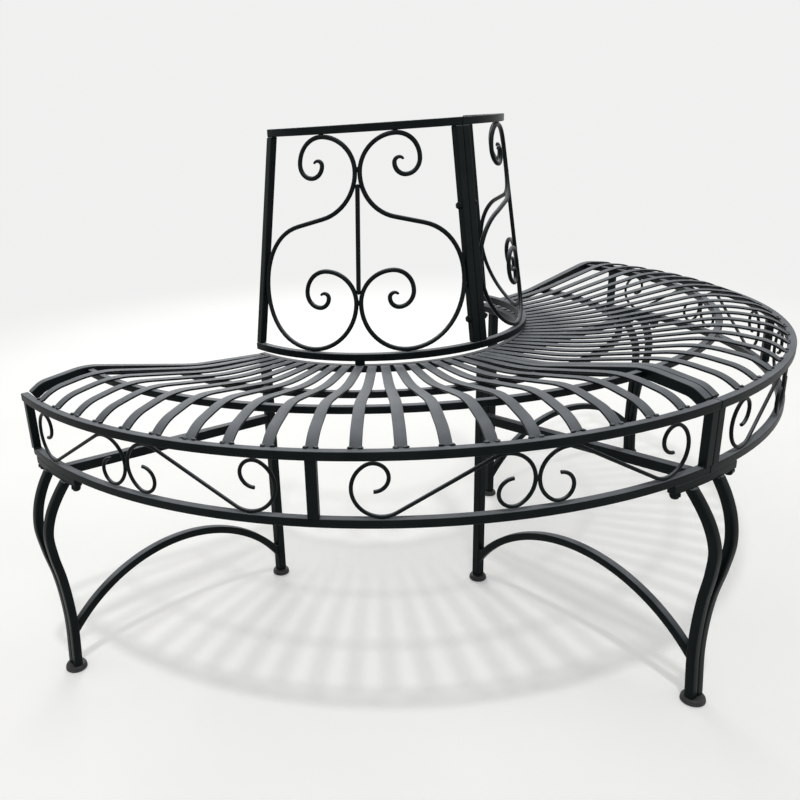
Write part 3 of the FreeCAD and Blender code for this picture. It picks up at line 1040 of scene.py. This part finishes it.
def backSpots(values, places):
    reach = values["rod"] / 2 + values["touch"]
    ground = values["bottom"] + values["rail"]
    ceiling = values["top"] - values["rail"]
    upper = values["upperCurl"][0][0]
    inner = values["bellyInner"]
    belly = bellyRadius(values)
    bellySide = ground + reach + belly * places["bellyRise"]
    low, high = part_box("left_back_centre_bar")
    return [
        (-reach - upper, ceiling, 0, "touch"),
        (0, ceiling - reach - upper + places["backTouch"], 90, "touch"),
        (-reach - inner, ground, 0, "touch"),
        (0, ground + reach + inner, 90, "touch"),
        (-2 * reach - inner - belly, bellySide, places["bellyLean"], "touch"),
        (0, high.z + places["crotch"], 90, "crotch"),
        (0, low.z - places["crotch"], 90, "crotch"),
    ]


for sideName, side in quarterSides.items():
    shift = side * quarterGap
    finishPiece(slatWelds(weldPlaces, side, shift), sideName + "SlatWelds", [], weldCoat)
    scrollWelds = bmesh.new()
    for way in (-1, 1):
        spots = backSpots(backValues, weldPlaces)
        joinInto(scrollWelds, flatWelds(spots, backRadius, side * backValues["middle"], way, shift))
        for bay in apronValues["bays"]:
            joinInto(scrollWelds, flatWelds(apronSpots(apronValues), apronRadius, side * bay, way, shift))
    finishPiece(scrollWelds, sideName + "ScrollWelds", [], weldCoat)


def frameSpots(places):
    # Beads of a leg frame at the arch's ends, the stretcher's end and the tops of the outer legs.
    # Each spot says whether its bead lies across the frame.
    centre = archCentre(archValues)
    spots = []
    for reach in (archValues["inner"][0], archValues["outer"][0] + places["archPast"]):
        for edge in (-0.5, 0.5):
            radius = archValues["radius"] + edge * archValues["bar"]
            height = centre.z + math.sqrt(radius**2 - (reach - centre.x) ** 2)
            spots.append((Vector((reach, 0, height)), "corner", True))
    low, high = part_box("front_stretcher")
    for height in (low.z + places["stretcherTop"], low.z):
        spots.append((Vector((treeY - high.y, 0, height)), "corner", True))
    top = legValues["line"][-1]
    half = legValues["bar"] / 2
    for side in (-1, 1):
        across = side * (half + legValues["touch"] + top[1])
        for out, aside in ((half, 0), (-half, 0), (0, half), (0, -half)):
            spot = Vector((top[0] + out, across + aside, top[2] - places["legTopBelow"]))
            spots.append((spot, "legTop", out != 0))
    return spots


def frameWelds(angle):
    welds = bmesh.new()
    place = aboutTree(angle)
    for spot, kind, across in frameSpots(weldPlaces):
        turn = turnOf(place) @ (quarterTurn if across else Matrix())
        weldBead(welds, place @ spot, weldValues[kind], turn)
    return welds


for frameName, angle in frameAngles.items():
    finishPiece(frameWelds(angle), frameName + "FrameWelds", [], weldCoat)


def cornerWelds(bm, low, high, places):
    # Beads at the foot and the top of an apron post, on both of its sides.
    middle = (low + high) / 2
    place = aboutTree(math.degrees(math.atan2(middle.x, treeY - middle.y)))
    out = math.hypot(middle.x, treeY - middle.y)
    for height in (low.z + places["postInside"], high.z - places["postInside"]):
        for aside in (-places["postAside"], places["postAside"]):
            spot = Vector((out, aside, height))
            weldBead(bm, place @ spot, weldValues["corner"], turnOf(place))


postWelds = bmesh.new()
for sideName in quarterSides:
    for low, high in solidBoxes(sideName + "_apron_posts"):
        cornerWelds(postWelds, low, high, weldPlaces)
groundFlush(postWelds)
finishPiece(postWelds, "postWelds", [], weldCoat)
print("weld beads made")


# Camera, floor and light
cameraValues = {
    "place": (-0.9501, treeY - 1.2172, 0.7962),
    "yaw": 30.861,
    "pitch": -20.690,
    "roll": -3.877,
    "lens": 36.987,
    "sensor": 36.0,
    "shift": (0.1431, 0.0415),
}


def addCamera(values):
    yaw, pitch, roll = (math.radians(values[key]) for key in ("yaw", "pitch", "roll"))
    ahead = Vector((math.sin(yaw) * math.cos(pitch), math.cos(yaw) * math.cos(pitch), math.sin(pitch)))
    level = ahead.cross(Vector((0, 0, 1))).normalized()
    above = level.cross(ahead)
    right = level * math.cos(roll) + above * math.sin(roll)
    top = above * math.cos(roll) - level * math.sin(roll)
    camera = bpy.data.objects.new("camera", bpy.data.cameras.new("camera"))
    turn = Matrix((right, top, -ahead)).transposed().to_4x4()
    camera.matrix_world = Matrix.Translation(values["place"]) @ turn
    camera.data.lens = values["lens"]
    camera.data.sensor_width = values["sensor"]
    camera.data.shift_x, camera.data.shift_y = values["shift"]
    bpy.context.scene.collection.objects.link(camera)
    bpy.context.scene.camera = camera


addCamera(cameraValues)

backdrop = (0.875, 0.875, 0.868, 1)
floorValues = {
    "size": 9.0,
    "level": -0.0004,
    "tone": (0.83, 0.828, 0.808, 1),
    "duller": 0.97,  # share of the tone in its darker patches
    "mottle": 3.0,
    "lift": 0.25,  # glow that only the camera sees
    "fadeFrom": 1.6,
    "fadeTo": 3.4,
}


def floorPaint(values):
    # Pale paper that keeps the shadows and fades into the backdrop.
    material, paint = newPaint("palePaper")
    place = paint.add("TexCoord", output=3)  # object coordinates
    distance = paint.add("VectorMath", {"operation": "LENGTH"}, {0: place}, 1)
    fade = paint.ramp(distance, values["fadeFrom"], values["fadeTo"])
    mottle = paint.noise(values["mottle"], 3.0)
    duller = [level * values["duller"] for level in values["tone"][:3]] + [1]
    tone = paint.blend(paint.ramp(mottle, 0.3, 0.7), duller, values["tone"])
    camera = paint.add("LightPath", output=0)  # is camera ray
    glow = paint.add("Emission", None, {"Color": backdrop, "Strength": camera * values["lift"]})
    paper = paint.add("BsdfDiffuse", None, {"Color": tone})
    lit = paint.add("AddShader", None, {0: paper, 1: glow})
    white = paint.add("Emission", None, {"Color": backdrop, "Strength": 1.0})
    shown = paint.add("MixShader", None, {0: fade * camera, 1: lit, 2: white})
    paint.add("OutputMaterial", None, {"Surface": shown})
    return material


def addFloor(values):
    bm = bmesh.new()
    bmesh.ops.create_grid(bm, x_segments=2, y_segments=2, size=values["size"])
    bmesh.ops.translate(bm, verts=bm.verts, vec=(0, 0, values["level"]))
    mesh = bpy.data.meshes.new("floor")
    bm.to_mesh(mesh)
    bm.free()
    mesh.materials.append(floorPaint(values))
    floor = bpy.data.objects.new("floor", mesh)
    bpy.context.scene.collection.objects.link(floor)


addFloor(floorValues)


def addLamp(name, place, target, size, power):
    lamp = bpy.data.lights.new(name, "AREA")
    lamp.shape = "DISK"
    lamp.size = size
    lamp.energy = power
    holder = bpy.data.objects.new(name, lamp)
    holder.location = place
    holder.rotation_euler = (Vector(place) - Vector(target)).to_track_quat("Z", "Y").to_euler()
    holder.visible_camera = False
    bpy.context.scene.collection.objects.link(holder)


lamps = [  # name, place, what it looks at, width and power
    ("ceilingLamp", (-1.1, -1.34, 4.8), (0, 0, 0.3), 0.34, 60.0),
    ("backPanel", (1.3, 3.0, 1.9), (0, 0, 0.4), 2.4, 38.0),
]
for lamp in lamps:
    addLamp(*lamp)

ambientLight = 0.58


def addWorld(ambient):
    # The camera sees the backdrop, and the world lights the bench evenly.
    world = bpy.data.worlds.new("studio")
    world.use_nodes = True
    bpy.context.scene.world = world
    paint = Paint(world.node_tree)
    seen = paint.add("LightPath", output=0)  # is camera ray
    mirrored = paint.add("LightPath", output=3)  # is glossy ray
    through = paint.add("LightPath", output=6)  # is transmission ray
    greater = {"operation": "MAXIMUM"}
    other = paint.add("Math", greater, {0: mirrored, 1: through})
    shown = paint.add("Math", greater, {0: seen, 1: other})
    tone = paint.add("Background", None, {"Color": backdrop, "Strength": 1.0})
    light = paint.add("Background", None, {"Color": (1, 1, 1, 1), "Strength": ambient})
    surface = paint.add("MixShader", None, {0: shown, 1: light, 2: tone})
    paint.add("OutputWorld", None, {"Surface": surface})


addWorld(ambientLight)
bpy.context.scene.view_settings.view_transform = "Standard"
print("stage ready")
